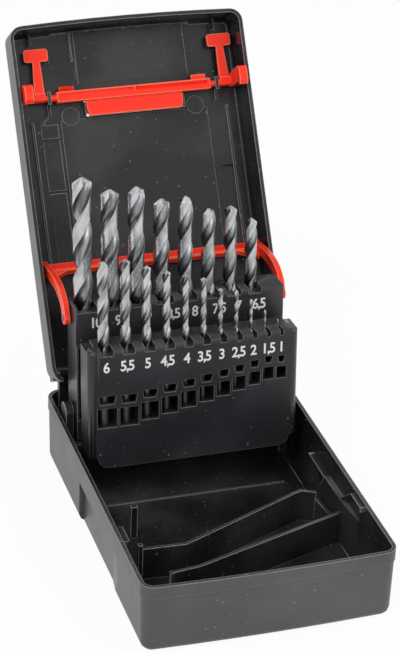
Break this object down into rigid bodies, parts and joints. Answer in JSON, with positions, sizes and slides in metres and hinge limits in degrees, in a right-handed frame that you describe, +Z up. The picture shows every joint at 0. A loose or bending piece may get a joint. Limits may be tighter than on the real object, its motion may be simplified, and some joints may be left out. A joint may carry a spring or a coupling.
{
  "type": "drill bit case",
  "caption": "Hinged plastic case whose lid raises a two-row holder of twist drills by a bail and shuts with a rocking latch.",
  "frame": {"origin": "middle of the base's flat underside, on the table", "axes": "+Z up, +Y toward the hinge, X along the hinge"},
  "size_m": [0.128, 0.2852, 0.214],
  "materials": {
    "case_plastic": "glossy black moulding with a light grain",
    "holder_plastic": "satin black moulding",
    "red_plastic": "bright red-orange moulding",
    "pin_steel": "drawn wire",
    "drill_steel": "ground bright steel"
  },
  "bodies": {
    "base": {"base_shell": "case_plastic"},
    "lid": {"lid_shell": "case_plastic", "hinge_pin_left": "pin_steel", "hinge_pin_right": "pin_steel"},
    "holder": {"front_rack": "holder_plastic", "back_rack": "holder_plastic"},
    "bail": {"bail": "red_plastic"},
    "latch": {"latch": "red_plastic"},
    "bit_6_0": {"bit_6_0": "drill_steel"},
    "bit_5_5": {"bit_5_5": "drill_steel"},
    "bit_5_0": {"bit_5_0": "drill_steel"},
    "bit_4_5": {"bit_4_5": "drill_steel"},
    "bit_4_0": {"bit_4_0": "drill_steel"},
    "bit_3_5": {"bit_3_5": "drill_steel"},
    "bit_3_0": {"bit_3_0": "drill_steel"},
    "bit_2_5": {"bit_2_5": "drill_steel"},
    "bit_2_0": {"bit_2_0": "drill_steel"},
    "bit_1_5": {"bit_1_5": "drill_steel"},
    "bit_1_0": {"bit_1_0": "drill_steel"},
    "bit_10_0": {"bit_10_0": "drill_steel"},
    "bit_9_5": {"bit_9_5": "drill_steel"},
    "bit_9_0": {"bit_9_0": "drill_steel"},
    "bit_8_5": {"bit_8_5": "drill_steel"},
    "bit_8_0": {"bit_8_0": "drill_steel"},
    "bit_7_5": {"bit_7_5": "drill_steel"},
    "bit_7_0": {"bit_7_0": "drill_steel"},
    "bit_6_5": {"bit_6_5": "drill_steel"}
  },
  "joints": [
    {"name": "lid_hinge", "type": "hinge", "parent": "base", "child": "lid", "pos_m": [0, 0.0882, 0.0512], "axis": [-1, 0, 0], "range_deg": [-122, 0]},
    {"name": "holder_fold", "type": "hinge", "parent": "base", "child": "holder", "pos_m": [0, 0.0652, 0.0412], "axis": [-1, 0, 0], "range_deg": [-94.6, 0]},
    {"name": "bail_swing", "type": "hinge", "parent": "holder", "child": "bail", "pos_m": [0, 0.0726, 0.09248], "axis": [-1, 0, 0], "range_deg": [-67.8, 0]},
    {"name": "latch_rock", "type": "hinge", "parent": "lid", "child": "latch", "pos_m": [0, 0.16493, 0.174], "axis": [-1, 0, 0], "range_deg": [0, 8], "stiffness_Nm_per_rad": 0.6, "springref_deg": -2.86},
    {"name": "bit_6_0_lift", "type": "slide", "parent": "holder", "child": "bit_6_0", "axis": [0, 0.0785, 0.9969], "range_m": [0, 0.049]},
    {"name": "bit_5_5_lift", "type": "slide", "parent": "holder", "child": "bit_5_5", "axis": [0, 0.0785, 0.9969], "range_m": [0, 0.049]},
    {"name": "bit_5_0_lift", "type": "slide", "parent": "holder", "child": "bit_5_0", "axis": [0, 0.0785, 0.9969], "range_m": [0, 0.047]},
    {"name": "bit_4_5_lift", "type": "slide", "parent": "holder", "child": "bit_4_5", "axis": [0, 0.0785, 0.9969], "range_m": [0, 0.045]},
    {"name": "bit_4_0_lift", "type": "slide", "parent": "holder", "child": "bit_4_0", "axis": [0, 0.0785, 0.9969], "range_m": [0, 0.043]},
    {"name": "bit_3_5_lift", "type": "slide", "parent": "holder", "child": "bit_3_5", "axis": [0, 0.0785, 0.9969], "range_m": [0, 0.041]},
    {"name": "bit_3_0_lift", "type": "slide", "parent": "holder", "child": "bit_3_0", "axis": [0, 0.0785, 0.9969], "range_m": [0, 0.039]},
    {"name": "bit_2_5_lift", "type": "slide", "parent": "holder", "child": "bit_2_5", "axis": [0, 0.0785, 0.9969], "range_m": [0, 0.037]},
    {"name": "bit_2_0_lift", "type": "slide", "parent": "holder", "child": "bit_2_0", "axis": [0, 0.0785, 0.9969], "range_m": [0, 0.035]},
    {"name": "bit_1_5_lift", "type": "slide", "parent": "holder", "child": "bit_1_5", "axis": [0, 0.0785, 0.9969], "range_m": [0, 0.033]},
    {"name": "bit_1_0_lift", "type": "slide", "parent": "holder", "child": "bit_1_0", "axis": [0, 0.0785, 0.9969], "range_m": [0, 0.033]},
    {"name": "bit_10_0_lift", "type": "slide", "parent": "holder", "child": "bit_10_0", "axis": [0, 0.0785, 0.9969], "range_m": [0, 0.067]},
    {"name": "bit_9_5_lift", "type": "slide", "parent": "holder", "child": "bit_9_5", "axis": [0, 0.0785, 0.9969], "range_m": [0, 0.067]},
    {"name": "bit_9_0_lift", "type": "slide", "parent": "holder", "child": "bit_9_0", "axis": [0, 0.0785, 0.9969], "range_m": [0, 0.067]},
    {"name": "bit_8_5_lift", "type": "slide", "parent": "holder", "child": "bit_8_5", "axis": [0, 0.0785, 0.9969], "range_m": [0, 0.067]},
    {"name": "bit_8_0_lift", "type": "slide", "parent": "holder", "child": "bit_8_0", "axis": [0, 0.0785, 0.9969], "range_m": [0, 0.067]},
    {"name": "bit_7_5_lift", "type": "slide", "parent": "holder", "child": "bit_7_5", "axis": [0, 0.0785, 0.9969], "range_m": [0, 0.067]},
    {"name": "bit_7_0_lift", "type": "slide", "parent": "holder", "child": "bit_7_0", "axis": [0, 0.0785, 0.9969], "range_m": [0, 0.067]},
    {"name": "bit_6_5_lift", "type": "slide", "parent": "holder", "child": "bit_6_5", "axis": [0, 0.0785, 0.9969], "range_m": [0, 0.067]}
  ],
  "couplings": [
    {"joint": "holder_fold", "follows": "lid_hinge", "ratio": 0.77459},
    {"joint": "bail_swing", "follows": "lid_hinge", "ratio": 0.55492}
  ]
}
